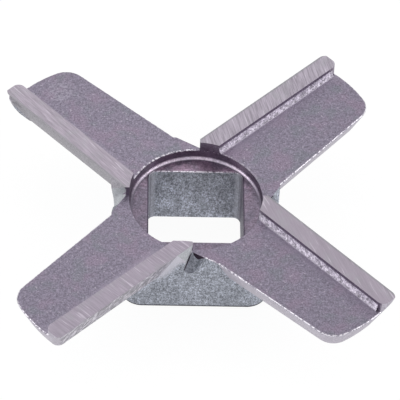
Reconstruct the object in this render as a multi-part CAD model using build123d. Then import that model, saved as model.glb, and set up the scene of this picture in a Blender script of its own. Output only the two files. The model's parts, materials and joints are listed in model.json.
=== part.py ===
# Four-armed knife for a household meat grinder, one casting with ground lands.
# Millimetres. Z is up and is the axis the knife turns about; the hub stands on
# z = 0 and the four cutting lands face up.
from build123d import *
import math
import os

os.makedirs("parts", exist_ok=True)

# ---- square drive and hub ---------------------------------------------------
drive = 10.0            # across the flats of the square drive hole
drive_r = 0.85          # corner radius of the drive hole
hub_foot = 15.44        # across the flats of the hub's bottom face
hub_foot_r = 2.2        # corner radius of the hub's bottom face
hub_draft = 8.0         # the hub widens upward by this angle
foot_edge = 0.20        # worn edge round the hub's bottom face

# ---- levels -----------------------------------------------------------------
z_under = 5.45          # underside of the arms
z_floor = 8.35          # low floor on top of the arms
z_land = 9.60           # ground lands, the top of the knife

# ---- round recess on top ------------------------------------------------------
recess_r = 7.05
recess_depth = 1.20     # below the arm floor
recess_foot_r = 0.38    # fillet at the foot of its wall
rim_r = 7.48            # thin rim left round the recess between the arms

# ---- arms (one arm along +X, its cutting edge on the +Y side) ---------------
side_draft = 23.0       # the long sides lean in going down
tip_draft = 24.0        # so does the tip
lead_off = 4.82         # cutting edge from the arm's centre line, 15 mm out
lead_slope = -0.022     # it closes in slowly toward the tip
trail_off = 4.84        # back edge at land level, 15 mm out
trail_slope = -0.063
land_w = 2.07           # width of the ground land
tip_lead = (24.50, 4.60)    # tip arc at land level: three points
tip_mid = (24.72, 1.00)
tip_trail = (23.68, -3.60)
tip_lead_r = 0.95
tip_trail_r = 2.55
x_nose = 24.42          # the land ends square at this distance
nose_r = 0.80           # plan rounding of the land's inner tip corner
land_foot_r = 0.42      # fillet between the land's wall and the floor
floor_edge_r = 0.14     # broken edge along the back and the tip of the floor
under_edge = 0.22       # the same round the arms' underside

# ---- corner between two arms, drawn in the valley that faces -Y --------------
wall_top_x = -0.42      # steep wall ending the cutting edge, at land level
wall_lean = 9.2         # it leans back by this angle going down
web_line = ((-0.42, -7.40), (1.95, -8.82))   # edge of the floor's web (x, y)
pocket_y = -8.65        # where the pocket's section below is taken
pocket = ((-1.27, 7.00), (-0.62, 6.08), (1.10, 8.45))   # foot of the wall, bottom, ramp (x, z)
pocket_run = (-0.55, -0.91, -1.18)     # the pocket runs outward and down
pocket_r = 0.42         # its rounded bottom
ramp_lean = 35.0        # the ramp block leans out below the web's edge
root_lean = 29.0        # the cutting edge's root leans out to the hub face

LOW = (Align.CENTER, Align.CENTER, Align.MIN)
z_recess = z_floor - recess_depth
ts = math.tan(math.radians(side_draft))
tt = math.tan(math.radians(tip_draft))
th = math.tan(math.radians(hub_draft))


def lead_y(x, z, inset=0.0):
    return lead_off + lead_slope * (x - 15) - (z_land - z) * ts - inset


def trail_y(x, z, inset=0.0):
    return -(trail_off + trail_slope * (x - 15)) + (z_land - z) * ts + inset


def nearest(shape, point):
    return min(shape.vertices(), key=lambda v: (v.X - point[0]) ** 2 + (v.Y - point[1]) ** 2)


def outline(z, x0, inset=0.0):
    """Closed outline of an arm at height z, starting x0 from the axis."""
    d = (z_land - z) * tt + inset
    arc = ThreePointArc(tip_lead, tip_mid, tip_trail)
    cen, rad = arc.arc_center, arc.radius

    def on_arc(y):
        return cen.X - d + math.sqrt(rad * rad - (y - cen.Y) ** 2)

    x1 = x2 = 24.0
    for _ in range(30):
        x1 = on_arc(lead_y(x1, z, inset))
        x2 = on_arc(trail_y(x2, z, inset))
    p0, p1 = (x0, lead_y(x0, z, inset)), (x1, lead_y(x1, z, inset))
    p2, p3 = (x2, trail_y(x2, z, inset)), (x0, trail_y(x0, z, inset))
    ym = (p1[1] + p2[1]) / 2
    f = make_face([Line(p3, p0), Line(p0, p1), ThreePointArc(p1, (on_arc(ym), ym), p2), Line(p2, p3)])
    f = fillet(nearest(f, p1), max(tip_lead_r - 0.1 * d, 0.4))
    f = fillet(nearest(f, p2), max(tip_trail_r - 0.3 * d, 0.6))
    return Pos(0, 0, z) * f


def taper_block(z0, z1):
    """Part of the drafted square hub between two heights."""
    faces = []
    for z in (z0, z1):
        w = hub_foot + 2 * th * z
        faces.append(Pos(0, 0, z) * RectangleRounded(w, w, hub_foot_r + 0.6 * th * z))
    return loft(faces, ruled=True)


def prism_xz(points, y0, y1):
    """Polygon in XZ run along Y from y0 down to y1."""
    w = Polyline(*[(x, y0, z) for x, z in points], close=True)
    return extrude(make_face(w), amount=y0 - y1, dir=(0, -1, 0))


# ---- one arm: drafted blank, floor sunk beside the land ----------------------
inner = lead_off - land_w
z_edge = z_under + under_edge
blank = loft([outline(z_edge, 3.0), outline(z_land, 3.0)], ruled=True)
blank += loft([outline(z_under, 3.0, under_edge), outline(z_edge, 3.0)], ruled=True)


def inner_y(x):
    return inner + lead_slope * (x - 15)


side = Polyline((-1, inner_y(-1)), (30, inner_y(30)), (30, -12), (-1, -12), close=True)
floor_cut = Pos(0, 0, z_floor) * extrude(make_face(side), amount=5)
foot = floor_cut.edges().filter_by(lambda e: abs(e.center().Z - z_floor) < 1e-6
                                   and abs(e.center().Y - inner) < 1.0 and e.length > 20)
floor_cut = fillet(foot, land_foot_r)
arm = blank - floor_cut

# the land's tip ends square and is rounded in plan on its inner corner too
beyond = make_face(Polyline((20, inner_y(20)), (x_nose, inner_y(x_nose)), (x_nose, 9), (20, 9), close=True))
beyond = fillet(nearest(beyond, (x_nose, inner_y(x_nose))), nose_r)
tip_box = Pos(x_nose - nose_r, inner - 1, 0) * Rectangle(8, 9, align=(Align.MIN, Align.MIN))
arm -= Pos(0, 0, z_floor) * extrude(tip_box - beyond, amount=4)



def flat_edges(shape, z):
    out = []
    for e in shape.edges():
        b = e.bounding_box()
        if abs(b.min.Z - z) < 1e-4 and abs(b.max.Z - z) < 1e-4:
            out.append(e)
    return out


# broken edge along the back and the tip of the floor
arm = fillet([e for e in flat_edges(arm, z_floor)
              if e.center().X > 5 and (e.center().Y < -2 or e.length > 4 and e.center().X > 23)], floor_edge_r)

# ---- corner between two arms ---------------------------------------------------
upper = taper_block(4.5, z_land)
root_l = upper & prism_xz([(-5.2, 4.6), (-5.2, z_land), (wall_top_x + 0.6, z_land),
                           (wall_top_x + 0.6, 4.6)], -5.2, -9.8)
slope = math.degrees(math.atan(lead_slope))
over = Rot(0, 0, slope) * Rot(root_lean, 0, 0) * Box(60, 20, 40, align=(Align.CENTER, Align.MIN, Align.CENTER))
root_l -= Rot(0, 0, 225) * Pos(6, lead_y(6, z_land), z_land) * over
root_l -= Rot(0, 0, 225) * floor_cut

root_r = upper & prism_xz([(wall_top_x - 0.8, 4.6), (wall_top_x - 0.8, z_floor), (3.6, z_floor),
                           (3.6, 4.6)], -5.2, -9.8)
(wx0, wy0), (wx1, wy1) = web_line
wx2, wy2 = wx1 + 1.6, wy1 + 1.6 * (wy1 - wy0) / (wx1 - wx0)
web = Pos(0, 0, 4.6) * extrude(make_face(Polyline((wx0, -4.5), (wx0, wy0), (wx2, wy2), (wx2, -4.5), close=True)),
                               amount=z_floor - 4.6)
# below the web's edge the ramp block may only lean outward
turn = math.degrees(math.atan2(wy1 - wy0, wx1 - wx0))
root_r -= Pos(wx0, wy0, z_floor) * Rot(0, 0, turn) * Rot(-ramp_lean, 0, 0) * Box(
    40, 20, 40, align=(Align.CENTER, Align.MAX, Align.CENTER))
web &= upper
corner = root_l + root_r + web

# the pocket: steep wall, rounded bottom and ramp in one cut, outside the web
lean_x = math.tan(math.radians(wall_lean))
(ax, az), (bx, bz), (cx, cz) = pocket
z_top = 12.0
section = make_face(Polyline(*[(x, pocket_y, z) for x, z in (
    (ax + lean_x * (z_top - az), z_top), (ax, az), (bx, bz), (bx + (z_top - bz) * (cx - bx) / (cz - bz), z_top))], close=True))
section = fillet([v for v in section.vertices() if v.Z < z_top - 1], pocket_r)
scoop = extrude(section, amount=6, dir=pocket_run) + extrude(section, amount=4, dir=tuple(-c for c in pocket_run))
behind = Pos(wx0, wy0, 0) * Rot(0, 0, turn) * Box(40, 20, 40, align=(Align.CENTER, Align.MIN, Align.CENTER))
scoop -= behind

# ---- the whole knife -------------------------------------------------------------
hub = taper_block(0, z_recess - 0.35)
hub = fillet(hub.edges().group_by(Axis.Z)[0], foot_edge)
body = hub + Pos(0, 0, 4.6) * Cylinder(rim_r, z_floor - 4.6, align=LOW)
for k in range(4):
    body += Rot(0, 0, 45 + 90 * k) * arm
for k in range(4):
    body += Rot(0, 0, 90 * k) * corner

# the short steep end of each land, square to the valley
land_end = prism_xz([(wall_top_x, z_floor), (wall_top_x, 12), (6, 12), (6, z_floor)], -4, -12)
land_end &= Rot(0, 0, 225) * (Pos(0, inner - 0.5, z_floor) * Box(30, 14, 5, align=(Align.MIN, Align.MIN, Align.MIN)))
for k in range(4):
    body -= Rot(0, 0, 90 * k) * land_end
    body -= Rot(0, 0, 90 * k) * scoop

# recess and drive hole
recess = Pos(0, 0, z_recess) * Cylinder(recess_r, 5, align=LOW)
recess = fillet(recess.edges().group_by(Axis.Z)[0], recess_foot_r)
body -= recess
body -= Pos(0, 0, -1) * extrude(RectangleRounded(drive, drive, drive_r), amount=12)

export_step(body, "parts/knife.step")
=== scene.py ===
# %% [markdown]
# A meat grinder knife is one small steel casting. Four arms lie on the diagonals of a square hub, and
# each arm has a raised strip, the land, that is ground flat to slide on the grinder's plate.
# We could model it again from a block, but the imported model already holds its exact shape. So we start
# from that, touch up three small places, and give the rest of the work to the finish and the light.

import json
import math

import bpy
from mathutils import Matrix, Vector

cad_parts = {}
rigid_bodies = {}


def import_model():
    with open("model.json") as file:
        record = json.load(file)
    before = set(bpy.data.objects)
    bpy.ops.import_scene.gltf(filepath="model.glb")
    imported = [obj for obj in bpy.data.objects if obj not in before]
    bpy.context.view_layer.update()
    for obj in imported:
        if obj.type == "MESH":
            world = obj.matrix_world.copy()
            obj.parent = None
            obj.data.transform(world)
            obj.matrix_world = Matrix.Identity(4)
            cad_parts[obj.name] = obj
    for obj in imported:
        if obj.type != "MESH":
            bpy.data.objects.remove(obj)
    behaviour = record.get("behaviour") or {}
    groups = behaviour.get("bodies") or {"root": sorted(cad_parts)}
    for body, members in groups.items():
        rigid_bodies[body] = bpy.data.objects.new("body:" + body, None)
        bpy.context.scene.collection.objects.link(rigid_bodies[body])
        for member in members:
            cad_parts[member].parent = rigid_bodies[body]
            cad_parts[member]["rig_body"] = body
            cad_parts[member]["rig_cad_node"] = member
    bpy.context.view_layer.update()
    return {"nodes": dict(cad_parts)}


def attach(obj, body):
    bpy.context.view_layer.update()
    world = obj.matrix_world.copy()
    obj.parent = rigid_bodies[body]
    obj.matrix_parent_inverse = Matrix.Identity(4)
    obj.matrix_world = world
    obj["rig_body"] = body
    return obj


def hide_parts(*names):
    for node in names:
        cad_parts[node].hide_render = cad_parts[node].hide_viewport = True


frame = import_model()


# %% [markdown]
# All the heights on the knife come from a few levels. We could read them off the mesh, but written once,
# in millimetres above the hub's foot, they also say what each level is. Blender counts in metres, so MM
# turns one into the other.

# %% Levels of the casting
MM = 0.001
FOOT = 0.0              # the hub's bottom face
UNDER = 5.45            # underside of the arms
RECESS = 7.15           # bottom of the round recess
FLOOR = 8.35            # low floor on top of the arms
LAND = 9.60             # the ground lands, the top of the knife
RECESS_RADIUS = 7.05
HOLE_HALF = 5.0         # half the width of the square drive hole
SLACK = 0.01            # room for rounding where two places are compared
print("each land stands", round(LAND - FLOOR, 2), "mm above the floor beside it")

# %% [markdown]
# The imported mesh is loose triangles, each with its own corners. Cutting it, smoothing it and telling its
# flat faces apart all need connected faces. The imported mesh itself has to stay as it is, so we work on a
# copy: merge the corners that share a place, then dissolve the edges inside each flat face.
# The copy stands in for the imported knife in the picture, at the same place and size.

# %% Copy the casting and join its faces
SAME_PLACE = 0.002      # corners closer than this, in millimetres, become one
SAME_PLANE = 0.6        # faces that differ by less than this, in degrees, become one

cad_knife = frame["nodes"]["knife"]
bpy.ops.object.select_all(action="DESELECT")
cad_knife.select_set(True)
bpy.context.view_layer.objects.active = cad_knife
bpy.ops.object.duplicate()
casting = bpy.context.active_object
casting.name = "knife_casting"
casting.data.name = "knife_casting"
casting.parent = None
casting.matrix_world = Matrix.Identity(4)
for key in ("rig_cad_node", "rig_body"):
    if key in casting:
        del casting[key]
casting.data.materials.clear()

bpy.ops.object.mode_set(mode="EDIT")
bpy.ops.mesh.select_all(action="SELECT")
bpy.ops.mesh.customdata_custom_splitnormals_clear()
bpy.ops.mesh.remove_doubles(threshold=SAME_PLACE * MM)
bpy.ops.mesh.dissolve_limited(angle_limit=math.radians(SAME_PLANE))
bpy.ops.object.mode_set(mode="OBJECT")
print("joined casting:", len(casting.data.vertices), "corners,", len(casting.data.polygons), "faces")

# %% [markdown]
# The four arms are one shape turned by quarter turns. Most places on the knife are easier to say in an
# arm's own directions, x along the arm and y across it, than in the directions of the whole knife.
# Two helpers turn a vector into them and back, and a third one names the arm that a point belongs to.

# %% Directions of an arm
ARMS = {"right_back": 45, "left_back": 135, "left_front": 225, "right_front": 315}


def in_arm(vector, degrees):
    """Turns a vector into an arm's own directions, along it and across it."""
    return Matrix.Rotation(-math.radians(degrees), 3, "Z") @ vector


def out_of_arm(vector, degrees):
    """Turns a vector from an arm's own directions back into those of the knife."""
    return Matrix.Rotation(math.radians(degrees), 3, "Z") @ vector


def nearest_arm(point):
    """The name of the arm that lies in a point's direction from the axis."""
    heading = math.degrees(math.atan2(point.y, point.x)) % 360
    return min(ARMS, key=lambda name: abs((heading - ARMS[name] + 180) % 360 - 180))


print("a point on the +X side at the back belongs to", nearest_arm(Vector((2, 1))))

# %% [markdown]
# The wall below each land isn't quite upright on a real casting: it leans into the fillet at its foot.
# A new surface could be lofted there. But the fillet is already a bundle of corners round the line where
# wall and floor would meet, so moving those corners is enough: away from the floor to make it taller, and
# toward the wall to make it narrower. It stays one smooth curve, and it keeps its ends.

# %% Lean the wall below each land
MEASURED_AT = 15        # the places of a land's edges are given this far out along the arm
INNER = 2.75            # its inner edge, from the arm's centre line
LEADING = 4.82          # its cutting edge
CLOSING = -0.022        # both edges close in by this much for each millimetre further out
FILLET = 0.42           # radius of the fillet at the foot of the wall
TALLER = 2.0            # how many times taller and narrower it becomes
NARROWER = 0.8
ARM_FROM = 5            # nearer the axis than this, the corners are the hub's

leaned = 0
for corner in casting.data.vertices:
    heading = ARMS[nearest_arm(corner.co)]
    q = in_arm(corner.co / MM, heading)
    wall = INNER + CLOSING * (q.x - MEASURED_AT)
    beside_wall = -FILLET - SLACK < q.y - wall < SLACK
    above_floor = FLOOR - SLACK < q.z < FLOOR + FILLET + SLACK
    on_arm = q.x > ARM_FROM and math.hypot(q.x, q.y) > RECESS_RADIUS - 2 * SLACK
    if beside_wall and above_floor and on_arm:
        q.y = wall + (q.y - wall) * NARROWER
        q.z = FLOOR + (q.z - FLOOR) * TALLER
        corner.co = out_of_arm(q, heading) * MM
        leaned += 1
print("fillet corners moved:", leaned)

# %% [markdown]
# Three of the noses lean in under their land as drawn. The one on the left at the back kept more of its
# metal, so its corner stands nearly upright under the land before it leans in.
# Scaling the whole nose would move its land too. So we cut its steep faces twice, once where the fuller
# part begins and once to give the corner a row of new vertices. Then the vertices move outward along
# their normals, undoing most of the lean near the land and none of it at the bottom.

# %% Fill out one nose
FULL_NOSE = "left_back"
NOSE_FROM = 22.0        # the fuller part begins this far out along the arm
NOSE_SIDE = 3.0         # only its leading side is fuller, further than this from the centre line
NOSE_CUT = 8.6          # height of the row of new vertices
NOSE_END = 24.41        # nothing moves out past the square end of the land
DRAFT = 0.4245          # how far the sides lean in, per millimetre of height
LEAN_UNDONE = 0.85      # the share of it that is undone
STEEP = 0.6             # a face whose normal rises or falls by less than this is steep
CUT_THRESHOLD = 1e-8    # corners this close to a cut, in metres, lie on it


def cut_nose(point, direction):
    """Cuts the steep faces of the nose along a plane, given in the arm's directions in millimetres."""
    bpy.ops.object.mode_set(mode="EDIT")
    bpy.ops.mesh.select_mode(type="FACE")
    bpy.ops.mesh.select_all(action="DESELECT")
    bpy.ops.object.mode_set(mode="OBJECT")
    heading, corners = ARMS[FULL_NOSE], casting.data.vertices
    for face in casting.data.polygons:
        if abs(face.normal.z) < STEEP and nearest_arm(face.center) == FULL_NOSE:
            reach = max(in_arm(corners[index].co / MM, heading).x for index in face.vertices)
            face.select = reach > NOSE_FROM + SLACK
    bpy.ops.object.mode_set(mode="EDIT")
    bpy.ops.mesh.bisect(plane_co=out_of_arm(point, heading) * MM, plane_no=out_of_arm(direction, heading),
                        threshold=CUT_THRESHOLD)
    bpy.ops.object.mode_set(mode="OBJECT")


def from_0_to_1(value):
    """A number, kept from 0 to 1."""
    return min(max(value, 0.0), 1.0)


cut_nose(Vector((NOSE_FROM, 0, 0)), Vector((1, 0, 0)))
cut_nose(Vector((0, 0, NOSE_CUT)), Vector((0, 0, 1)))
normals = [corner.normal.copy() for corner in casting.data.vertices]
filled = 0
for corner, normal in zip(casting.data.vertices, normals):
    q = in_arm(corner.co / MM, ARMS[FULL_NOSE])
    outward = in_arm(normal, ARMS[FULL_NOSE]).to_2d()
    leaned_in = (LAND - q.z) * DRAFT
    side = from_0_to_1(q.y + leaned_in - NOSE_SIDE)
    in_nose = q.x > NOSE_FROM + 5 * SLACK and q.z < NOSE_CUT + 5 * SLACK
    if in_nose and side > 0 and outward.length > 0.3:
        height = from_0_to_1((q.z - UNDER) / (NOSE_CUT - UNDER))
        move = outward.normalized() * leaned_in * side * LEAN_UNDONE * height
        moved = Vector((min(q.x + move.x, NOSE_END), q.y + move.y, q.z))
        corner.co = out_of_arm(moved, ARMS[FULL_NOSE]) * MM
        filled += 1
print("nose corners moved:", filled)

# %% [markdown]
# The land at the front left is worn where it meets the recess: its inner corner has moved in by a third
# of a millimetre. A bevel would cut a flat there. Moving the corners instead, each by less the further it
# is away, wears it round as rubbing does.

# %% Wear down one land corner
WORN_LAND = "left_front"
WORN_CORNER = Vector((6.41, 2.94))      # where its inner corner stands, along the arm and across it
WORN_REACH = 1.2                        # the wear ends this far from the corner
WORN_BY = Vector((0.24, 0.24, 0.0))     # how far the corner itself moves

worn = 0
for corner in casting.data.vertices:
    q = in_arm(corner.co / MM, ARMS[WORN_LAND])
    near = 1.0 - (q.to_2d() - WORN_CORNER).length / WORN_REACH
    if near > 0 and q.z > LAND - SLACK:
        q += WORN_BY * near
        corner.co = out_of_arm(q, ARMS[WORN_LAND]) * MM
        worn += 1
print("land corners worn:", worn)

# %% [markdown]
# A finish is a material, and a material is built from nodes. They could be wired one by one, but the same
# few steps come back in every finish, so small helpers keep it readable: one adds a node and fills its
# sockets, one makes a smooth step, and one blends two colours by a mask. A mask is a number from 0 to 1
# that changes over the surface.

# %% Node helpers
finishes = {}


def new_finish(name):
    """A material with an empty node tree and a Principled shader on its output."""
    finish = bpy.data.materials.new(name)
    finish.use_nodes = True
    nodes = finish.node_tree.nodes
    nodes.clear()
    output = nodes.new("ShaderNodeOutputMaterial")
    shader = nodes.new("ShaderNodeBsdfPrincipled")
    finish.node_tree.links.new(shader.outputs["BSDF"], output.inputs["Surface"])
    return finish, shader


def keep(finish):
    """Puts a finish in the table, by its name, so that faces can ask for it."""
    finishes[finish.name] = finish
    print("finish", finish.name, "made from", len(finish.node_tree.nodes), "nodes")


def feed(finish, socket, value):
    """Gives a socket a number, a colour, or another node's output."""
    if isinstance(value, bpy.types.NodeSocket):
        finish.node_tree.links.new(value, socket)
    else:
        socket.default_value = value


def add(finish, kind, sockets=None, **settings):
    """Adds a node with its settings, and feeds its sockets."""
    made = finish.node_tree.nodes.new(kind)
    for name, value in settings.items():
        setattr(made, name, value)
    for name, value in (sockets or {}).items():
        feed(finish, made.inputs[name], value)
    return made


def ramp(finish, value, low, high, out_low=0.0, out_high=1.0):
    """A smooth step, from out_low where value is low to out_high where it is high."""
    limits = {"Value": value, "From Min": low, "From Max": high, "To Min": out_low, "To Max": out_high}
    return add(finish, "ShaderNodeMapRange", limits, interpolation_type="SMOOTHSTEP").outputs["Result"]


def ramp_mm(finish, place, low, high, out_low=0.0, out_high=1.0):
    """The same for a place on the knife, with its limits in millimetres."""
    return ramp(finish, place, low * MM, high * MM, out_low, out_high)


def blend(finish, mask, first, second, mode="MIX"):
    """Blends two colours by a mask: the first where it is 0 and the second where it is 1."""
    made = add(finish, "ShaderNodeMix", data_type="RGBA", blend_type=mode)
    for number, value in ((0, mask), (6, first), (7, second)):     # the sockets that colours use
        feed(finish, made.inputs[number], value)
    return made.outputs[2]


def maths(finish, operation, first, second=0.0, clamp=False):
    """One step of arithmetic."""
    made = add(finish, "ShaderNodeMath", {0: first, 1: second}, operation=operation, use_clamp=clamp)
    return made.outputs[0]


def both(finish, first, second):
    """A mask that is 1 only where two masks are."""
    return maths(finish, "MULTIPLY", first, second)


# %% [markdown]
# Grit, pits and scratches are noise. They could come from a picture, but noise in object space has no
# seams, and it stays on the knife when the knife turns. Stretched along one direction it becomes
# scratches. Masks also need to know where on the knife they are, along an arm or away from the axis.

# %% Noise, colours and places on the knife
AXIS = (0.0, 0.0)       # where the knife's axis stands, in millimetres


def srgb(red, green, blue):
    """A colour as picked on a screen, 0 to 255, made linear for the shader."""
    def linear(v):
        v /= 255.0
        return v / 12.92 if v <= 0.04045 else ((v + 0.055) / 1.055) ** 2.4
    return (linear(red), linear(green), linear(blue), 1.0)


def grain(finish, size, detail=2.0, roughness=0.5, stretch=None, turn=0.0, offset=0.0):
    """Noise with blotches about size millimetres across. An offset, also in millimetres, makes it another."""
    place = add(finish, "ShaderNodeTexCoord").outputs["Object"]
    if stretch or turn or offset:
        moved = {"Vector": place, "Rotation": (0.0, 0.0, turn), "Location": (offset * MM, offset * MM, 0.0)}
        place = add(finish, "ShaderNodeMapping", moved).outputs["Vector"]
    if stretch:
        scaled = add(finish, "ShaderNodeVectorMath", {0: place, 1: stretch}, operation="MULTIPLY")
        place = scaled.outputs["Vector"]
    noise = {"Vector": place, "Scale": 1.0 / (size * MM), "Detail": detail, "Roughness": roughness}
    return add(finish, "ShaderNodeTexNoise", noise).outputs["Fac"]


def object_axis(finish, axis, degrees=0.0):
    """One coordinate of the surface point, in the knife's directions or in those of an arm."""
    place = add(finish, "ShaderNodeTexCoord").outputs["Object"]
    if degrees:
        turned = {"Vector": place, "Rotation": (0.0, 0.0, -math.radians(degrees))}
        place = add(finish, "ShaderNodeMapping", turned).outputs["Vector"]
    return add(finish, "ShaderNodeSeparateXYZ", {"Vector": place}).outputs[axis]


def away_from(finish, middle):
    """How far the surface point is from an upright line through middle, an x and a y in millimetres."""
    squares = []
    for axis, at in zip("XY", middle):
        apart = maths(finish, "SUBTRACT", object_axis(finish, axis), at * MM)
        squares.append(maths(finish, "POWER", apart, 2.0))
    return maths(finish, "SQRT", maths(finish, "ADD", *squares))


print("middle grey made linear:", round(srgb(128, 128, 128)[0], 3))

# %% [markdown]
# Three steps finish every surface. Speckle makes a colour lighter and darker by noise. A bump lets the
# same noise tilt the light, which is enough here, because grit marks are only hundredths of a millimetre
# deep and real geometry for them would cost millions of faces. The coat then sets the shader.

# %% Speckle, bump and coat
def shaded(finish, colour, shade):
    """Multiplies a colour by a grey, where 1 leaves it as it is."""
    grey = add(finish, "ShaderNodeCombineColor", {"Red": shade, "Green": shade, "Blue": shade}).outputs[0]
    return blend(finish, 1.0, colour, grey, "MULTIPLY")


def speckle(finish, colour, noise, low, high, window=(0.3, 0.7)):
    """Shades a colour by noise, from low to high while the noise crosses the window."""
    return shaded(finish, colour, ramp(finish, noise, *window, low, high))


def roughen(finish, shader, heights, strength, depth):
    """Runs heights through a bump node into the shader. The depth is in millimetres."""
    bump = add(finish, "ShaderNodeBump", {"Strength": strength, "Distance": depth * MM, "Height": heights})
    feed(finish, shader.inputs["Normal"], bump.outputs["Normal"])


def coat(finish, shader, colour, metallic, rough):
    """Sets the shader's colour, metallic and roughness."""
    for name, value in (("Base Color", colour), ("Metallic", metallic), ("Roughness", rough)):
        feed(finish, shader.inputs[name], value)


# %% [markdown]
# Where a knife rubs on the grinder's plate or on fingers, its skin turns bright. We could model each worn
# edge as a narrow bevel. Painting is lighter and looks more real here, because the wear is broken up into
# small spots: a mask says where it may be, and noise decides where in there it is. The same bright spots
# stand in for the glints that such edges catch, so they are partly wear and partly painted highlight.

# %% Places that rub
def at_back(finish):
    """1 on the back half of the recess and 0 on the front half."""
    return ramp_mm(finish, object_axis(finish, "Y"), 1.5, 4.5)


def rubbed_and_glinting_side(finish):
    """1 where the recess's rim is rubbed by the plate and glints are painted, at the back, most of all at the
    left.
    """
    return both(finish, at_back(finish), ramp_mm(finish, object_axis(finish, "X"), 1.5, 4.2, 1.0, 0.3))


def beside_land(finish, degrees):
    """Where the painted highlight goes: 1 right beside an arm's land, falling to 0 further away and at the
    hub.
    """
    along, across = object_axis(finish, "X", degrees), object_axis(finish, "Y", degrees)
    return both(finish, ramp_mm(finish, across, INNER - 1.3, INNER - 0.5), ramp_mm(finish, along, 7.5, 8.5))


def rub_and_glint(finish, colour, mask, spots_from, strength=1.0):
    """Worn spots and painted glints where the mask is 1. Fewer are left as spots_from rises."""
    noise = grain(finish, 0.30, 2.0, 0.7, offset=3)
    spots = ramp(finish, noise, spots_from, spots_from + 0.1, 0.0, strength)
    return blend(finish, both(finish, mask, spots), colour, srgb(236, 231, 240))


# %% [markdown]
# The skin of the casting is blasted with grit, so it is evenly rough with a sandy speckle. The arms' upper
# faces have been handled as well and are a warm, faintly violet grey, darker than the walls. Part of that
# difference is painted light: in this light the tops look darker and more violet than the upright faces.
# One noise would give an even, dull grey, so we lay several over each other, at the sizes of real marks:
# 0.2 and 0.4 mm for grit, 2 to 3 mm for patches, and sparse bright grains that were struck flat.
# Then come the places: a painted highlight on a strip beside each land, where the fillet at the land's foot
# would catch the light, one pale spot on the left back arm, a skin that grows a little paler toward that
# arm, and two rubbed edges with painted glints, round the recess and over the front pocket.

# %% Cast skin
WEB_HEADING = -30.9             # heading of the floor's edge over the front pocket
WEB_AT = -6.565                 # and its place, read across that heading
PALE_SPOT = (-14.6, 15.4)


def handled_greys(finish, fine, sand):
    """The mixed greys of the skin, before any place differs from the rest."""
    warm, cool = grain(finish, 2.6), grain(finish, 2.1, offset=9)
    struck = grain(finish, 0.3, 1.0, offset=4)
    colour = speckle(finish, srgb(139, 132, 148), sand, 0.8, 1.2)
    colour = blend(finish, ramp(finish, warm, 0.46, 0.66, 0.0, 0.55), colour, srgb(150, 134, 153))
    colour = blend(finish, ramp(finish, cool, 0.5, 0.68, 0.0, 0.55), colour, srgb(130, 132, 141))
    colour = speckle(finish, colour, fine, 0.78, 1.22)
    return blend(finish, ramp(finish, struck, 0.66, 0.76, 0.0, 0.7), colour, srgb(188, 180, 194))


def web_edge(finish):
    """1 on a hairline along the floor's edge over the front pocket."""
    edge = ramp_mm(finish, object_axis(finish, "Y", WEB_HEADING), WEB_AT + 0.10, WEB_AT + 0.20, 1.0, 0.0)
    front = ramp_mm(finish, object_axis(finish, "Y"), -7.2, -6.8, 1.0, 0.0)
    sideways = object_axis(finish, "X")
    from_left, to_right = ramp_mm(finish, sideways, 0.6, 0.9), ramp_mm(finish, sideways, 1.9, 2.1)
    return both(finish, edge, both(finish, front, maths(finish, "SUBTRACT", from_left, to_right)))


def cast_skin():
    finish, shader = new_finish("cast_skin")
    fine, sand = grain(finish, 0.17, 2.0, 0.6), grain(finish, 0.38, 3.0, 0.7)
    colour = handled_greys(finish, fine, sand)
    # a painted highlight beside each land, where the fillet at its foot would catch the light
    for degrees in ARMS.values():
        land_side_highlight = maths(finish, "MULTIPLY", beside_land(finish, degrees), 0.5)
        colour = blend(finish, land_side_highlight, colour, srgb(168, 160, 176))
    near_spot = ramp_mm(finish, away_from(finish, PALE_SPOT), 0.7, 2.1, 0.6, 0.0)
    sandy_spot = both(finish, near_spot, ramp(finish, sand, 0.4, 0.64))
    colour = blend(finish, sandy_spot, colour, srgb(172, 166, 180))
    toward_back = object_axis(finish, "X", ARMS["left_back"])
    colour = shaded(finish, colour, ramp_mm(finish, toward_back, -12, 12, 0.965, 1.04))
    rim = ramp_mm(finish, away_from(finish, AXIS), RECESS_RADIUS + 0.12, RECESS_RADIUS + 0.24, 1.0, 0.0)
    # worn spots and painted glints round the rim and along the floor's edge over the front pocket
    colour = rub_and_glint(finish, colour, both(finish, rim, rubbed_and_glinting_side(finish)), 0.47)
    colour = rub_and_glint(finish, colour, web_edge(finish), 0.44)
    coat(finish, shader, colour, 0.95, 0.48)
    roughen(finish, shader, maths(finish, "ADD", maths(finish, "MULTIPLY", fine, 0.5), sand), 0.5, 0.05)
    return finish


keep(cast_skin())

# %% [markdown]
# The walls of the hub and the arms' sides are so rough that they scatter light like stone. Their paler,
# bluer grey is partly that of fresh grit and partly painted light, as upright faces look lighter than the
# tops here. One function can make all of them. Each wall asks for its own colour and contrast, and for
# another part of the noise, so that no two show the same pattern.

# %% Blasted walls
# a pale grit grey, partly painted light that makes the walls lighter than the tops
LIT_GRIT_GREY = srgb(175, 179, 190)


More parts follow.
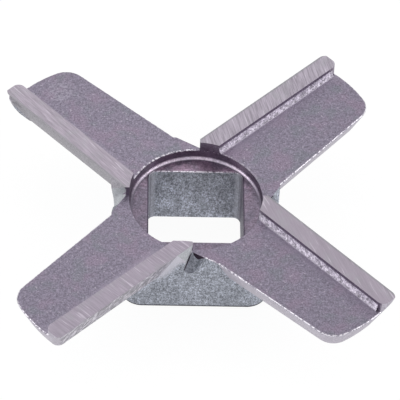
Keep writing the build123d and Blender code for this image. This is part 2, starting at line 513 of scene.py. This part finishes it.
def blasted(name, colour, contrast, metallic, rough, offset, shade=None):
    """A grit blasted wall. shade may be a function that changes its colour by place."""
    finish, shader = new_finish(name)
    tall = (1.0, 1.0, 0.7)
    grit = grain(finish, 0.15, 3.0, 0.75, tall, offset=offset)
    sand = grain(finish, 0.34, 3.0, 0.75, tall, offset=offset)
    drift = grain(finish, 1.1, 2.0, 0.5, tall, offset=offset + 2)
    pitted = grain(finish, 0.26, 1.0, 0.5, tall, offset=offset + 5)
    made = speckle(finish, colour, drift, 1.0 - 0.16 * contrast, 1.0 + 0.14 * contrast)
    made = speckle(finish, made, sand, 1.0 - 0.36 * contrast, 1.0 + 0.3 * contrast)
    made = speckle(finish, made, grit, 1.0 - 0.74 * contrast, 1.0 + 0.6 * contrast)
    pits = ramp(finish, pitted, 0.28, 0.36, contrast * 0.5, 0.0)
    made = blend(finish, pits, made, srgb(70, 72, 82))
    if shade:
        made = shade(finish, made)
    coat(finish, shader, made, metallic, rough)
    heights = maths(finish, "ADD", maths(finish, "MULTIPLY", grit, 0.6), sand)
    roughen(finish, shader, heights, 0.35 + 0.45 * contrast, 0.05)
    return finish


keep(blasted("arm_side", srgb(190, 184, 196), contrast=0.22, metallic=0.6, rough=0.5, offset=11))
# the pocket's wall is painted pale as light, where it faces the lamp on the right
keep(blasted("lit_pocket_wall", srgb(210, 212, 217), contrast=0.2, metallic=0.5, rough=0.6, offset=17))
keep(blasted("hub_corner", srgb(190, 192, 197), contrast=0.2, metallic=0.5, rough=0.6, offset=29))
keep(blasted("lead_dull", srgb(160, 157, 164), contrast=0.36, metallic=0.85, rough=0.55, offset=19))

# %% [markdown]
# Three blasted walls change from place to place, mostly by painted light and shade. The drive hole, cut
# with a broach, is darker near its mouth, with a painted highlight and painted shade in its corners and
# painted shade on its right side. The pocket at the front gets painted shade along its crease. The hub
# has a painted shadow round its foot and painted light on its upper corners, and is pale below the front
# land's edge. So each wall gets a function that blends colours in by place.

# %% Drive hole, pocket and hub
def hole_light_and_wear(finish, colour):
    """The drive hole: darker near its mouth, painted light and shade in its corners and shade on its right
    side, and its mouth worn with painted glints.
    """
    height, sideways = object_axis(finish, "Z"), object_axis(finish, "X")
    colour = shaded(finish, colour, ramp_mm(finish, height, RECESS, 2.0, 0.86, 1.16))
    from_corner = maths(finish, "MINIMUM", maths(finish, "ABSOLUTE", sideways),
                        maths(finish, "ABSOLUTE", object_axis(finish, "Y")))
    # a painted highlight on the rounded corners, then painted shade deep in each corner
    colour = blend(finish, ramp_mm(finish, from_corner, 4.05, 4.45, 0.0, 0.55), colour, srgb(190, 190, 200))
    colour = blend(finish, ramp_mm(finish, from_corner, 4.66, 4.80, 0.0, 0.85), colour, srgb(92, 86, 98))
    # painted shade toward the right side, and darker still on the right wall
    colour = blend(finish, ramp_mm(finish, sideways, 0.5, 4.5, 0.0, 0.16), colour, srgb(70, 70, 80))
    colour = blend(finish, ramp_mm(finish, sideways, 4.75, 4.95, 0.0, 0.6), colour, srgb(104, 92, 106))
    return rub_and_glint(finish, colour, ramp_mm(finish, height, RECESS - 0.14, RECESS - 0.05), 0.42)


def pocket_crease_shade(finish, colour):
    """The front pocket: painted shade along its crease and low down, and as pale as the hub further right."""
    crease = ramp_mm(finish, object_axis(finish, "X"), -0.6, 0.75, 0.52, 0.0)
    low = ramp_mm(finish, object_axis(finish, "Z"), 6.2, 6.8, 0.8, 0.0)
    colour = blend(finish, crease, colour, srgb(96, 96, 108))
    return blend(finish, low, colour, srgb(84, 86, 98))


def hub_light_and_shadow(finish, colour):
    """The hub: a painted shadow round its foot, painted light on its upper corners, and pale below the front
    land's edge.
    """
    height = object_axis(finish, "Z")
    # painted light on the hub's upper corners, where the band of light below the lands runs on
    colour = blend(finish, ramp_mm(finish, height, 8.0, 8.6, 0.0, 0.8), colour, srgb(206, 200, 210))
    beside = maths(finish, "SUBTRACT", object_axis(finish, "X"), maths(finish, "MULTIPLY", height, 0.6))
    front = ramp_mm(finish, object_axis(finish, "Y"), -8.2, -7.8, 1.0, 0.0)
    below_edge = both(finish, ramp_mm(finish, beside, -7.2, -6.1, 0.9, 0.0), front)
    below_edge = both(finish, below_edge, ramp_mm(finish, height, 4.6, 6.4, 0.1, 1.0))
    colour = blend(finish, below_edge, colour, srgb(218, 216, 226))
    # a painted shadow where the hub's foot meets the table
    return blend(finish, ramp_mm(finish, height, 0.22, 0.42, 0.9, 0.0), colour, srgb(64, 64, 74))


keep(blasted("hub_wall", LIT_GRIT_GREY, contrast=0.8, metallic=0.55, rough=0.66, offset=0,
             shade=hub_light_and_shadow))
keep(blasted("drive_hole", srgb(179, 182, 193), contrast=0.8, metallic=0.55, rough=0.62, offset=6,
             shade=hole_light_and_wear))
keep(blasted("pocket_floor", LIT_GRIT_GREY, contrast=0.7, metallic=0.55, rough=0.66, offset=23,
             shade=pocket_crease_shade))

# %% [markdown]
# The lands are ground on a flat wheel, so they shine more than the skin and carry fine parallel scratches.
# Each land was held to the wheel at its own angle, so each has its own scratch direction and depth.
# An anisotropic shader would stretch the highlights, but it draws no scratches. Stretched noise does:
# long along the stroke and very thin across it. A coarser one makes bands where the wheel bit deeper, and
# a third leaves a few bright nicks. Along the cutting edge runs a thin, duller rim.

# %% Ground lands
RIM_FROM, RIM_TO = 0.26, 0.12       # the dull rim fades in between these distances from the cutting edge
LAND_GRIND = {      # the stroke is a heading in degrees, and the offset is in millimetres
    "right_back": {"stroke": 104, "depth": 0.95, "colour": srgb(166, 158, 170), "offset": 0, "rim": 0.6},
    "left_back": {"stroke": 130, "depth": 0.7, "colour": srgb(169, 160, 172), "offset": 7, "rim": 0.6},
    "left_front": {"stroke": 136, "depth": 0.45, "colour": srgb(162, 153, 166), "offset": 13, "rim": 0.1},
    "right_front": {"stroke": 112, "depth": 0.25, "colour": srgb(161, 152, 164), "offset": 21, "rim": 0.6},
}


def cutting_rim(finish, degrees, strength):
    """A mask for the thin rim along an arm's cutting edge."""
    along, across = object_axis(finish, "X", degrees), object_axis(finish, "Y", degrees)
    from_line = maths(finish, "ADD", across, maths(finish, "MULTIPLY", along, -CLOSING))
    edge = LEADING - MEASURED_AT * CLOSING
    return ramp_mm(finish, from_line, edge - RIM_FROM, edge - RIM_TO, 0.0, strength)


def ground_land(arm, stroke, depth, colour, offset, rim):
    """A land's finish. stroke is the heading of its scratches, and depth how deep they are, from 0 to 1."""
    finish, shader = new_finish("land_" + arm)
    turn = -math.radians(stroke)
    scratch = grain(finish, 0.13, 3.0, 0.7, (0.05, 1.0, 1.0), turn, offset)
    band = grain(finish, 0.8, 2.0, 0.6, (0.12, 1.0, 1.0), turn, offset)
    nick = grain(finish, 0.24, 1.0, 0.5, (0.09, 1.0, 1.0), turn, offset + 3)
    cloud = grain(finish, 1.3)
    tone = speckle(finish, colour, scratch, 1.0 - 0.3 * depth, 1.0 + 0.26 * depth)
    tone = speckle(finish, tone, band, 1.0 - 0.12 * depth, 1.0 + 0.12 * depth)
    tone = blend(finish, ramp(finish, cloud, 0.45, 0.75, 0.0, 0.35), tone, srgb(160, 161, 165))
    tone = blend(finish, ramp(finish, nick, 0.62, 0.74, 0.0, 0.5), tone, srgb(214, 206, 218))
    tone = blend(finish, cutting_rim(finish, ARMS[arm], rim), tone, srgb(140, 141, 144))
    coat(finish, shader, tone, 0.95, ramp(finish, band, 0.3, 0.7, 0.34, 0.48))
    heights = maths(finish, "ADD", scratch, maths(finish, "MULTIPLY", band, 0.7))
    roughen(finish, shader, heights, depth * 0.6, 0.02)
    return finish


for arm, grind in LAND_GRIND.items():
    keep(ground_land(arm, **grind))

# %% [markdown]
# The leading faces lie below the cutting edges. Three were left as cast and have the dull blasted finish
# from before. The one at the front left was dressed by hand, with ragged bright chips that run down it.
# They are shallower than a tenth of a millimetre, so they are painted and bumped as the grit is: one
# noise, stretched down the face, is pushed to hard light and dark, and a finer one frays its edges.

# %% Hand-dressed leading face
def hacked_lead(name, arm):
    """The finish of a leading face with chips down it."""
    finish, shader = new_finish(name)
    turn = -math.radians(ARMS[arm])
    chips = grain(finish, 0.5, 3.0, 0.7, (0.9, 0.7, 0.3), turn + 0.5, 2)
    frayed = grain(finish, 0.24, 2.0, 0.6, (1.0, 0.6, 0.4), turn - 0.4)
    near_hub = ramp_mm(finish, object_axis(finish, "X", ARMS[arm]), 8.0, 10.5, 0.8, 0.0)
    tone = speckle(finish, srgb(160, 155, 167), chips, 0.7, 1.36, (0.4, 0.6))
    tone = speckle(finish, tone, frayed, 0.82, 1.22, (0.4, 0.6))
    tone = blend(finish, ramp(finish, chips, 0.53, 0.62, 0.0, 0.8), tone, srgb(228, 224, 232))
    tone = blend(finish, near_hub, tone, srgb(178, 174, 184))
    coat(finish, shader, tone, 0.55, 0.5)
    heights = maths(finish, "ADD", chips, maths(finish, "MULTIPLY", frayed, 0.5))
    roughen(finish, shader, heights, 0.8, 0.09)
    return finish


keep(hacked_lead("lead_hacked", "left_front"))

# %% [markdown]
# Narrow faces differ from the wide ones beside them. The foot of the wall below each land is grainy, with
# a painted highlight where its fillet would catch the light and painted shade at the floor and just under
# the land. The floor's outer edges get worn spots and painted glints. The land's end wall stays dark, and
# the pocket's far side and the line round the hub's foot are painted dark as shadow. The same skin on all
# of them would hide the shape, so each gets a finish of its own, and since they are so narrow, one or two
# noises are enough for each.

# %% Land foot, floor edge and dark faces
def land_foot():
    """Coarse, with a painted highlight in the middle of its height and painted shade at the floor and under
    the land.
    """
    finish, shader = new_finish("land_foot")
    wave, sand = grain(finish, 0.5, 3.0, 0.7), grain(finish, 0.2, 2.0, 0.6)
    colour = speckle(finish, srgb(230, 222, 238), wave, 0.6, 1.25, (0.38, 0.62))
    colour = speckle(finish, colour, sand, 0.66, 1.22, (0.38, 0.62))
    height = object_axis(finish, "Z")
    # painted shade at the floor and just under the land, round the painted highlight
    colour = shaded(finish, colour, ramp_mm(finish, height, FLOOR, FLOOR + 0.34, 0.55, 1.06))
    colour = shaded(finish, colour, ramp_mm(finish, height, FLOOR + 0.95, FLOOR + 0.6, 0.72, 1.06))
    coat(finish, shader, colour, 0.4, 0.45)
    heights = maths(finish, "ADD", wave, maths(finish, "MULTIPLY", sand, 0.5))
    roughen(finish, shader, heights, 0.9, 0.10)
    return finish


def floor_edge():
    """The broken edge along the back and the tip of the floor, with worn spots and painted glints all along.
    """
    finish, shader = new_finish("floor_edge")
    coat(finish, shader, rub_and_glint(finish, srgb(150, 144, 158), 1.0, 0.42), 0.8, 0.36)
    roughen(finish, shader, grain(finish, 0.30, 2.0, 0.7, offset=3), 0.5, 0.04)
    return finish


def plain_dark(name, colour, metallic, rough):
    """A dark, close finish with one sandy noise."""
    finish, shader = new_finish(name)
    sand = grain(finish, 0.3, 2.0, 0.65)
    coat(finish, shader, speckle(finish, colour, sand, 0.8, 1.2), metallic, rough)
    roughen(finish, shader, sand, 0.3, 0.04)
    return finish


keep(land_foot())
keep(floor_edge())
keep(plain_dark("land_wall", srgb(138, 127, 144), metallic=0.95, rough=0.42))
# the faces under the web in the front pocket are painted near black as shadow
keep(plain_dark("pocket_painted_shadow", srgb(60, 48, 62), metallic=0.9, rough=0.4))
# the hub's foot fillet is painted dark as the table's contact shadow
keep(plain_dark("foot_painted_shadow", srgb(66, 66, 76), metallic=0.1, rough=0.8))

# %% [markdown]
# The recess is turned on a lathe, so it is smoother and darker than the skin, with faint rings round the
# axis. A sine of the distance from the axis gives the rings, at the feed of the lathe tool.
# Its floor, its wall and the ring between them are one finish in three colours, and the ring's bright colour
# is a painted highlight. Each one has its own marks, blended in by place: worn spots and painted glints with
# painted shade at the mouth of the drive hole, worn spots and painted glints at the rim, and along the ring
# a painted highlight that is bright at the back and dull at the front.

# %% Turned recess
LATHE_FEED = 0.22                       # millimetres from ring to ring
RECESS_GREY = srgb(112, 106, 120)       # its floor
WALL_GREY = srgb(128, 117, 134)         # its wall


def mouth_wear_and_shade(finish, colour):
    """Round the drive hole: worn spots and painted glints at the back edge, and painted shade along the
    sides.
    """
    sideways, fore = (maths(finish, "ABSOLUTE", object_axis(finish, axis)) for axis in "XY")
    from_mouth = maths(finish, "MAXIMUM", sideways, fore)
    near = ramp_mm(finish, from_mouth, HOLE_HALF + 0.08, HOLE_HALF + 0.18, 1.0, 0.0)
    side = ramp_mm(finish, maths(finish, "SUBTRACT", sideways, fore), -0.2, 0.2)
    # a painted dark line of shade along the side edges of the hole's mouth
    colour = blend(finish, both(finish, near, side), colour, srgb(76, 68, 82))
    fore_and_aft = maths(finish, "SUBTRACT", near, side, clamp=True)
    return rub_and_glint(finish, colour, both(finish, fore_and_aft, at_back(finish)), 0.42)


def rim_wear_and_glint(finish, colour):
    """The wall's top gets worn spots and painted glints with the floor's rim, except where a land stands over
    it.
    """
    height = object_axis(finish, "Z")
    from_below = ramp_mm(finish, height, FLOOR - 0.16, FLOOR - 0.06)
    up_to_floor = ramp_mm(finish, height, FLOOR + 0.01, FLOOR + 0.03, 1.0, 0.0)
    top = both(finish, from_below, up_to_floor)
    return rub_and_glint(finish, colour, both(finish, top, rubbed_and_glinting_side(finish)), 0.5, strength=0.8)


def ring_painted_highlight(finish, colour):
    """A painted highlight on the ring: bright at the back and dull at the front. It runs into the floor and
    wall.
    """
    height = object_axis(finish, "Z")
    front = ramp_mm(finish, object_axis(finish, "Y"), 0.5, 4.2, 0.8, 0.0)
    at_floor = ramp_mm(finish, height, RECESS + 0.01, RECESS + 0.05, 1.0, 0.0)
    at_wall = ramp_mm(finish, height, RECESS + 0.26, RECESS + 0.34)
    colour = blend(finish, front, colour, srgb(98, 91, 106))
    colour = blend(finish, at_floor, colour, RECESS_GREY)
    return blend(finish, at_wall, colour, WALL_GREY)


def turned(name, colour, blush, contrast, rough, touch):
    """A turned surface. blush is the colour it warms to toward the back, and touch adds its wear and painted
    light.
    """
    finish, shader = new_finish(name)
    turns = maths(finish, "MULTIPLY", away_from(finish, AXIS), 2 * math.pi / (LATHE_FEED * MM))
    rings = maths(finish, "SINE", turns)
    sand, fine = grain(finish, 0.4, 3.0, 0.7), grain(finish, 0.18, 2.0, 0.6)
    cloud = ramp(finish, grain(finish, 1.5, offset=2), 0.4, 0.6, 0.3, 1.0)
    warm = both(finish, cloud, ramp_mm(finish, object_axis(finish, "Y"), 0, 6, 0.3, 1.0))
    colour = blend(finish, warm, colour, blush)
    colour = speckle(finish, colour, sand, 1.0 - contrast, 1.0 + contrast)
    colour = speckle(finish, colour, fine, 1.0 - contrast, 1.0 + contrast)
    coat(finish, shader, touch(finish, colour), 0.95, rough)
    heights = maths(finish, "ADD", sand, maths(finish, "MULTIPLY", rings, 0.03))
    roughen(finish, shader, heights, 0.5, 0.05)
    return finish


keep(turned("recess_floor", RECESS_GREY, srgb(150, 129, 148), 0.24, 0.36, mouth_wear_and_shade))
keep(turned("recess_wall", WALL_GREY, srgb(120, 106, 124), 0.14, 0.42, rim_wear_and_glint))
# the ring's bright colour is a painted highlight on the fillet at the foot of the recess's wall
keep(turned("recess_foot", srgb(188, 178, 195), srgb(204, 190, 206), 0.18, 0.4, ring_painted_highlight))

# %% [markdown]
# Each face gets one of the finishes. They could be picked by hand in edit mode, but rules on a face's
# middle and direction do the same for thousands of faces, and still hold when the mesh changes. A face
# at the top level that looks straight up, for example, is a land.
# The first rules find what lies round the axis, and then the lands, their walls and the broken edges.
# A normal's z says how a face stands: 1 looks straight up, 0 is upright, and below 0 it leans over.

# %% Rules round the axis and on the lands
LEVEL = 0.995               # a face whose normal rises by more than this looks straight up
RING_HEIGHT = 0.45          # the ring at the foot of the recess's wall
FOOT_LINE_HEIGHT = 0.22     # the broken edge round the hub's foot
LAND_FOOT_HEIGHT = 0.86     # the stretched fillet below a land
EDGE_DROP = 0.16            # the floor's broken edge
ON_FLOOR = 0.003            # a face nearer than this to the floor's level is part of the floor
EDGE_FROM = 8               # nearer the axis than this, the floor's edges aren't broken
HALF_NOSE = 4               # a land's walls are nearer than this to the arm's centre line


def reach_of(place):
    """A place's distance from the axis."""
    return math.hypot(place.x, place.y)


def round_axis(place, normal):
    """The drive hole, and the recess's floor, wall and ring."""
    in_hole = max(abs(place.x), abs(place.y)) < HOLE_HALF + 2 * SLACK and place.z < RECESS
    if in_hole and abs(normal.z) < 0.2:
        return "drive_hole"
    if reach_of(place) < RECESS_RADIUS + 6 * SLACK and place.z > RECESS - SLACK:
        if place.z < RECESS + RING_HEIGHT and 0.004 < normal.z < 0.996:
            return "recess_foot"
        return "recess_floor" if normal.z > 0.5 else "recess_wall"
    return None


def lands_and_edges(place, normal):
    """The lands, the walls below and at the ends of them, and the broken edges."""
    arm = nearest_arm(place)
    q, facing = in_arm(place, ARMS[arm]), in_arm(normal, ARMS[arm])
    outside = reach_of(place) > RECESS_RADIUS
    if normal.z > LEVEL and place.z > LAND - 3 * SLACK:
        return "land_" + arm
    if place.z < FOOT + FOOT_LINE_HEIGHT and -0.97 < normal.z < -0.14:
        return "foot_painted_shadow"
    over_floor = FLOOR + ON_FLOOR < place.z < FLOOR + LAND_FOOT_HEIGHT
    if outside and over_floor and 0.01 < normal.z < 0.72 and facing.y < 0:
        return "land_foot"
    if outside and place.z > FLOOR + 0.5 and abs(normal.z) < 0.1 and abs(q.y) < HALF_NOSE:
        return "arm_side" if facing.x > 0.5 else "land_wall"
    under_floor = FLOOR - EDGE_DROP < place.z < FLOOR - ON_FLOOR
    if under_floor and 0.1 < normal.z < 0.97 and reach_of(place) > EDGE_FROM:
        return "floor_edge"
    return None


print("the floor of the recess gets", round_axis(Vector((6, 0, RECESS)), Vector((0, 0, 1))))

# %% [markdown]
# The next rules find the leading faces, and then the corner between two arms. There the drafted arm, the
# hub, the web and the pocket meet within 3 mm. Its shape is the same in all four valleys, so a face is
# turned into the one at the front before it is read, and one set of rules does for all four. Only beside
# the left back arm do faces get other finishes: its steep wall there gets the dark end-wall finish as
# painted shade, and three of the rules name that arm or its side.

# %% Rules on the leading faces and between the arms
HUB_REACH = 10.5            # the corners between the arms end this far from the axis
ARM_REACH = 9.5             # the arms' free sides begin this far from it
CORNER_Y = -6               # the front corner lies further forward than this
POCKET_Y = -7               # and its pocket further than this


def leans_in(normal):
    """True for the drafted sides, which lean in on their way down."""
    return -0.6 < normal.z < -0.2


def leading_faces(place, normal):
    """The leading faces, and the face over each of their roots that looks up and forward."""
    arm = nearest_arm(place)
    if in_arm(normal, ARMS[arm]).y <= 0.8:
        return None
    if leans_in(normal) and place.z > UNDER:
        return "lead_hacked" if arm == "left_front" else "lead_dull"
    if normal.z > 0.44 and place.z > FLOOR and reach_of(place) < 10:
        return "hub_corner" if arm == "left_front" else "lead_dull"
    return None


def between_arms(place, normal):
    """The corner between two arms, with its steep wall, its web and its pocket, and the arms' sides."""
    arm, reach = nearest_arm(place), reach_of(place)
    heading = math.degrees(math.atan2(place.y, place.x)) % 360
    valley = round((heading - 270) / 90) * 90
    v, facing = in_arm(place, valley), in_arm(normal, valley)
    forward = v.y < CORNER_Y
    in_corner = forward and v.z > UNDER and reach < HUB_REACH
    # painted shade: the steep wall beside the left back arm takes the dark end-wall finish
    if arm == "left_back" and v.y > -7.75 and v.z > FLOOR - 0.1 and facing.x > 0.55:
        return "land_wall"
    below_web = forward and UNDER + 1 < v.z < FLOOR and arm != "left_back"
    if below_web and 0.56 < facing.x < 0.9 and -0.1 < normal.z < 0.32:
        return "pocket_painted_shadow"
    if leans_in(normal) and reach > ARM_REACH and place.z > UNDER - 0.1:
        return "arm_side"
    left_corner_at_back = valley == -90 and place.y > 0
    if in_corner and left_corner_at_back and normal.z < 0.7:
        return "hub_corner"
    if in_corner and facing.x > 0.75:
        return "lit_pocket_wall"
    looks_left_and_forward = abs(normal.z) < 0.05 and facing.x < -0.3 and facing.y < -0.5
    if forward and v.z > UNDER + 0.8 and looks_left_and_forward:
        return "pocket_painted_shadow"
    if in_corner and v.y < POCKET_Y and v.z < FLOOR and normal.z > 0.3 and facing.x > -0.5:
        return "pocket_floor"
    return None


lead_side = out_of_arm(Vector((0, 1, -0.4)), ARMS["left_front"])
print("the front left leading face gets", leading_faces(Vector((-9, -9, LAND)), lead_side))

# %% [markdown]
# Now the faces can be sorted. A face takes the first finish that a rule names for it. One that no rule
# takes is skin if it looks up, and hub wall if it doesn't. The finishes become the casting's material
# slots, and each face points to one of them.

# %% Give each face its finish
def finish_for(place, normal):
    """The name of a face's finish, from its middle in millimetres and its direction."""
    for rule in (round_axis, lands_and_edges, leading_faces, between_arms):
        name = rule(place, normal)
        if name:
            return name
    return "cast_skin" if normal.z > 0.7 else "hub_wall"


slots = list(finishes)
for name in slots:
    casting.data.materials.append(finishes[name])
count = dict.fromkeys(slots, 0)
for face in casting.data.polygons:
    name = finish_for(face.center / MM, face.normal)
    face.material_index = slots.index(name)
    count[name] += 1
print("faces by finish:", count)

# %% [markdown]
# Shading all faces smooth would blur the cutting edges, and shading none would show every facet of the
# fillets. So only edges flatter than a limit are smoothed: fillets turn round, and edges stay crisp.
# The last two calls hide the imported knife, so that the copy replaces it, and let the copy ride on the
# fixed body.

# %% Smooth the fillets and hand the copy over
CRISP_FROM = 32             # edges that turn by more than this, in degrees, stay crisp

bpy.ops.object.select_all(action="DESELECT")
casting.select_set(True)
bpy.context.view_layer.objects.active = casting
bpy.ops.object.shade_smooth_by_angle(angle=math.radians(CRISP_FROM))
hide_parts("knife")
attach(casting, "root")
print("smoothed all edges flatter than", CRISP_FROM, "degrees")

# %% [markdown]
# The knife stands on a white table, a wide plane at the level of the hub's foot. A matt white plane alone
# turns grey in this light, and a glowing one would swallow the shadow and light the knife from below.
# So it is both. To the camera, and in the metal's reflections, most of it glows plain white. The rest is
# matt, so the knife keeps a soft shadow, and to every other ray it is matt all over.

# %% White table
TABLE_SIZE = 6.0            # metres, wide enough that its edge is never seen
TABLE_BELOW = 0.02          # millimetres under the hub's foot, so that the two faces don't share a level
GLOW = 1.04                 # a little over 1, which makes up for the part that is matt
GLOW_SHARE = 0.9

bpy.ops.mesh.primitive_plane_add(size=TABLE_SIZE, location=(0.0, 0.0, -TABLE_BELOW * MM))
table = bpy.context.active_object
table.name = "white_table"
table_finish, table_shader = new_finish("white_table")
coat(table_finish, table_shader, (0.8, 0.8, 0.8, 1.0), 0.0, 0.9)
seen = add(table_finish, "ShaderNodeLightPath").outputs
shown = maths(table_finish, "MAXIMUM", seen["Is Camera Ray"], seen["Is Glossy Ray"])
glow = add(table_finish, "ShaderNodeEmission", {"Color": (1.0, 1.0, 1.0, 1.0), "Strength": GLOW})
matt_and_glow = add(table_finish, "ShaderNodeMixShader",
                    {0: maths(table_finish, "MULTIPLY", shown, GLOW_SHARE),
                     1: table_shader.outputs["BSDF"],
                     2: glow.outputs["Emission"]})
for node in table_finish.node_tree.nodes:
    if node.type == "OUTPUT_MATERIAL":
        feed(table_finish, node.inputs["Surface"], matt_and_glow.outputs["Shader"])
table.data.materials.append(table_finish)
print("table", TABLE_SIZE, "m wide, with", round(100 * GLOW_SHARE), "% of it glowing")

# %% [markdown]
# Metal shows what is around it more than its own colour. A single lamp would leave it black with one hot
# spot. So the light is a pale dome and three large soft lamps: one at each side, low enough for the
# fillets to catch, and one behind and above for the flat tops.

# %% Dome and lamps
DOME_LIGHT = 0.8
LAMP_AIM = Vector((0.0, 0.0, 0.006))
LAMPS = {
    "lamp_left": {"place": (-0.55, -0.10, 0.30), "size": 0.30, "watts": 0.70},
    "lamp_right": {"place": (0.55, -0.10, 0.30), "size": 0.30, "watts": 0.70},
    "lamp_back": {"place": (0.0, 0.50, 0.55), "size": 0.50, "watts": 0.40},
}

world = bpy.data.worlds.new("pale_dome")
bpy.context.scene.world = world
world.use_nodes = True
backdrop = world.node_tree.nodes["Background"]
backdrop.inputs["Color"].default_value = (1.0, 1.0, 1.0, 1.0)
backdrop.inputs["Strength"].default_value = DOME_LIGHT


def soft_lamp(name, place, size, watts):
    """A square lamp at a place, aimed at the knife."""
    bpy.ops.object.light_add(type="AREA", location=place)
    lamp = bpy.context.active_object
    lamp.name = name
    lamp.data.shape = "SQUARE"
    lamp.data.size = size
    lamp.data.energy = watts
    lamp.rotation_euler = (LAMP_AIM - Vector(place)).to_track_quat("-Z", "Y").to_euler()


for name, lamp_settings in LAMPS.items():
    soft_lamp(name, **lamp_settings)
print("lamps:", ", ".join(LAMPS))

# %% [markdown]
# The camera looks from the front, just under halfway up, and stands back with a long lens, so the near
# arms are barely larger than the far ones. It leans by two and a half degrees. Turning it by hand would
# take many tries, so its place comes from two angles and a distance, and its turn from three directions
# at right angles to each other.

# %% Camera
AZIMUTH, ELEVATION, LEAN = math.radians(2.13), math.radians(47.78), math.radians(2.53)
DISTANCE = 371.0
AIM_AT = Vector((0.01, -0.01, 8.34))
SENSOR, LENS = 36.0, 317.28
SHIFT_X, SHIFT_Y = 0.0094, -0.0012
NEAREST, FURTHEST = 0.01, 20.0          # metres

level_part = math.cos(ELEVATION)
back = Vector((-math.sin(AZIMUTH) * level_part, -math.cos(AZIMUTH) * level_part, math.sin(ELEVATION)))
right = (-back).cross(Vector((0, 0, 1))).normalized()
above = right.cross(-back)
leaned_right = right * math.cos(LEAN) + above * math.sin(LEAN)
leaned_above = above * math.cos(LEAN) - right * math.sin(LEAN)
bpy.ops.object.camera_add(location=AIM_AT * MM + back * (DISTANCE * MM))
camera = bpy.context.active_object
camera.name = "bench_camera"
camera.rotation_euler = Matrix((leaned_right, leaned_above, back)).transposed().to_euler()
camera.data.sensor_width = SENSOR
camera.data.lens = LENS
camera.data.shift_x = SHIFT_X
camera.data.shift_y = SHIFT_Y
camera.data.clip_start = NEAREST
camera.data.clip_end = FURTHEST
bpy.context.scene.camera = camera
bpy.context.scene.view_settings.view_transform = "Standard"
print("camera at", [round(v / MM) for v in camera.location], "mm")
